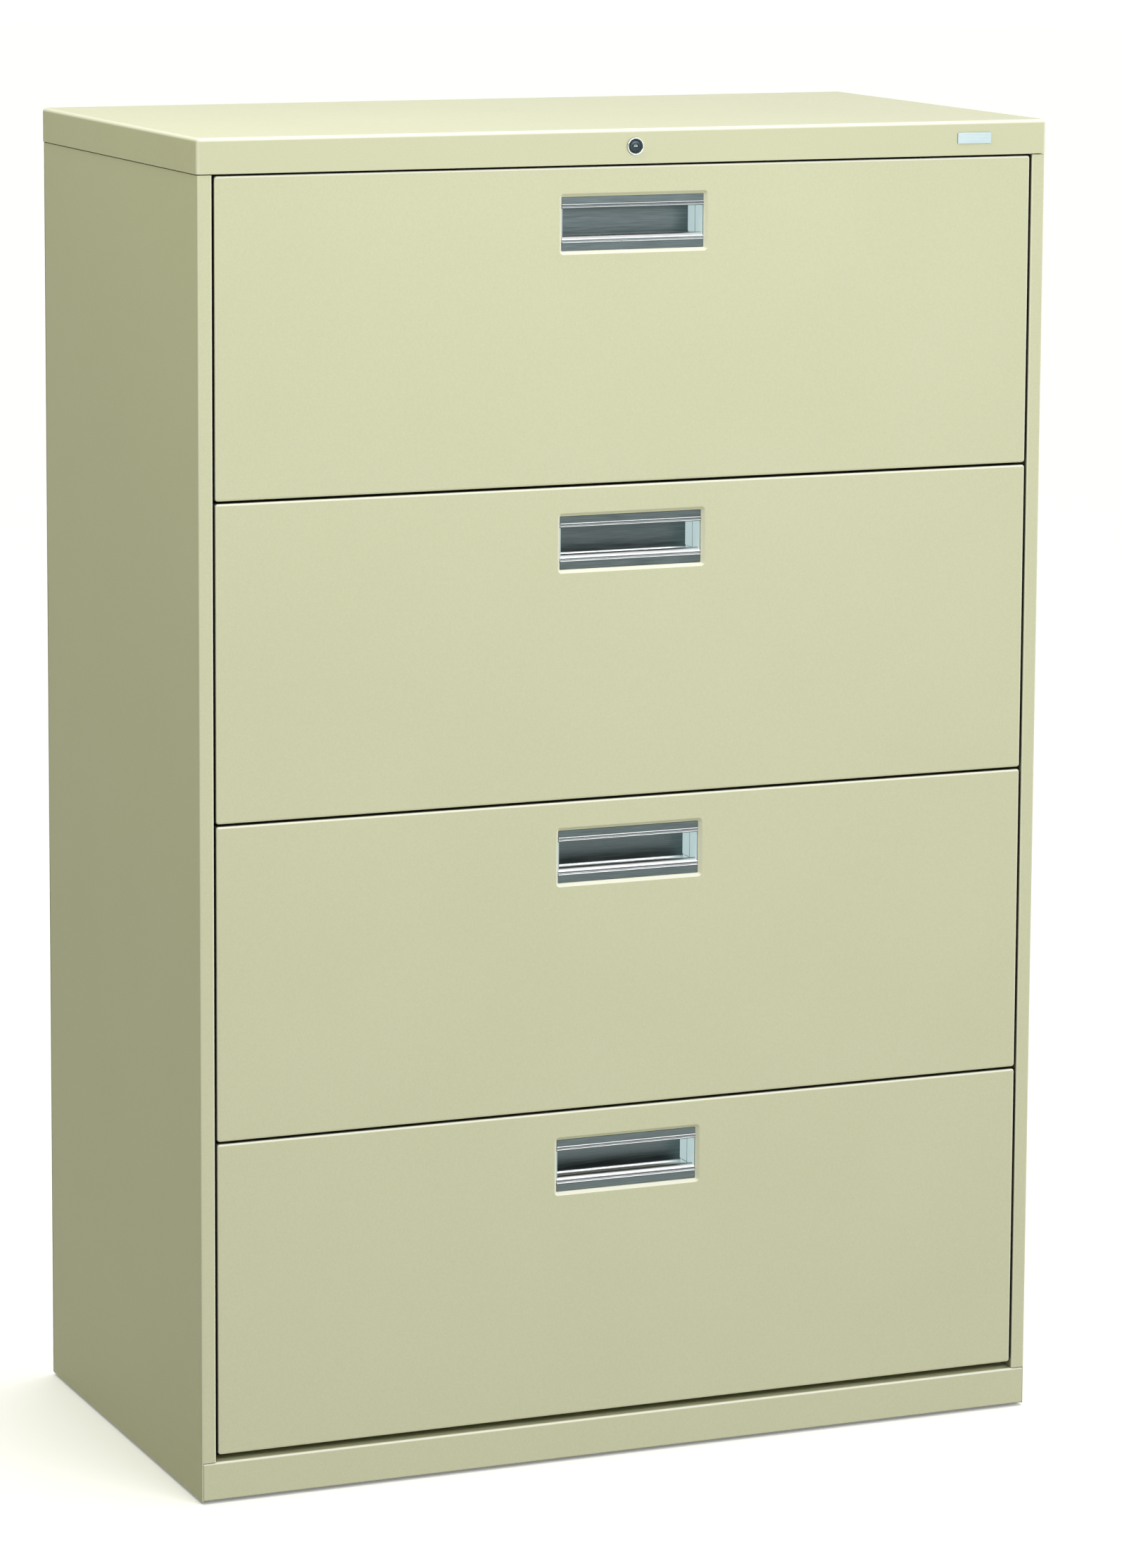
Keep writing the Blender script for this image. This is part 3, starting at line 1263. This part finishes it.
for n in DRAWERS:
    balls, cages = [], []
    for hand, side in HANDS:
        case_low_end, case_high_end, slide_middle = node_box(f"drawer_{n}_case_slide_{hand}")
        middle_low, middle_high, _ = node_box(f"drawer_{n}_middle_slide_{hand}")
        inner_low, inner_high, _ = node_box(f"drawer_{n}_drawer_slide_{hand}")
        outer_gap = near_x(case_low_end, case_high_end) + far_x(middle_low, middle_high)
        inner_gap = near_x(middle_low, middle_high) + far_x(inner_low, inner_high)
        outer_x, inner_x = side * outer_gap / 2, side * inner_gap / 2
        outer_z = (case_high_end.z - CHANNEL_WALL + middle_high.z) / 2 - slide_middle.z
        inner_z = (middle_high.z - CHANNEL_WALL + inner_high.z) / 2 - slide_middle.z
        for up in (-1, 1):
            outer = (outer_x, slide_middle.z + up * outer_z, ROW_NEAR, ROW_FAR)
            inner = (inner_x, slide_middle.z + up * inner_z, -ROW_FAR, -ROW_NEAR)
            for row in (outer, inner):
                balls += ball_row(*row)
                cages.append(cage(*row))
    piece(f"drawer_{n}_balls", *join_shapes(balls), ball_steel, f"drawer_{n}_runners", "zinc_steel")
    piece(f"drawer_{n}_ball_cages", *join_shapes(cages), zinc, f"drawer_{n}_runners", "zinc_steel")
print("balls in each drawer's slides", len(balls))
print("rows above and below the middle by", round(outer_z * 1000, 2), round(inner_z * 1000, 2))

# %% Rivets
RIVET = 3.0 * MM
RIVET_RISE = 1.2 * MM
RIVET_SUNK = 0.2 * MM
RIVET_STEPS, RIVET_SEGMENTS = 5, 20
RIVET_PLACES = (-0.18, -0.06, 0.06, 0.18)  # metres along the slide

rivet_profile = [(0, -RIVET_SUNK), (RIVET, -RIVET_SUNK)]
for k in range(RIVET_STEPS):
    angle = math.pi / 2 * k / RIVET_STEPS
    rivet_profile.append((RIVET * math.cos(angle), RIVET_RISE * math.sin(angle)))
rivet_profile.append((0, RIVET_RISE))
rivet_points, rivet_faces = turned(rivet_profile, Vector((0, 0, 0)), RIVET_SEGMENTS)
for n in DRAWERS:
    rivets = []
    for hand, side in HANDS:
        inner_low, inner_high, inner_middle = node_box(f"drawer_{n}_drawer_slide_{hand}")
        web = near_x(inner_low, inner_high) + CHANNEL_WALL
        for y in RIVET_PLACES:
            points = [(side * (web + p[1]), y + p[0], inner_middle.z + p[2]) for p in rivet_points]
            rivets.append((points, rivet_faces))
    piece(f"drawer_{n}_rivets", *join_shapes(rivets), ball_steel, f"drawer_{n}", "zinc_steel")
print("rivets on each drawer", len(rivets))

# %% [markdown]
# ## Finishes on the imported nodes
# The pieces that stay as packed are the plain ones: the back, the header rail, the pan and its
# glides, the boxes, hang rails and slides, and the lock's cam and bar. They get softened edges
# and their real finish.

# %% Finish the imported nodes
EDGE_WIDTH = 0.25 * MM
EDGE_STEPS = 2
EDGE_ANGLE = math.radians(50)  # edges sharper than this are softened

NODE_FINISH = {
    "back_panel": case_paint,
    "header_rail": case_paint,
    "bottom_pan": zinc,
    "lock_cam": zinc,
    "lock_bar": zinc,
    **{f"glide_{c}": nylon for c in ("front_left", "front_right", "rear_left", "rear_right")},
}
for n in DRAWERS:
    NODE_FINISH[f"drawer_{n}_box"] = inner_paint
    for which in ("front", "rear"):
        NODE_FINISH[f"drawer_{n}_{which}_hang_rail"] = zinc
    for member in ("case", "middle", "drawer"):
        for hand, _ in HANDS:
            NODE_FINISH[f"drawer_{n}_{member}_slide_{hand}"] = zinc
for name, material in NODE_FINISH.items():
    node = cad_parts[name]
    node.data.materials.clear()
    node.data.materials.append(material)
    bevel = node.modifiers.new("softened edges", "BEVEL")
    bevel.width = EDGE_WIDTH
    bevel.segments = EDGE_STEPS
    bevel.limit_method = "ANGLE"
    bevel.angle_limit = EDGE_ANGLE
    bevel.harden_normals = False
print("packed nodes finished", len(NODE_FINISH))
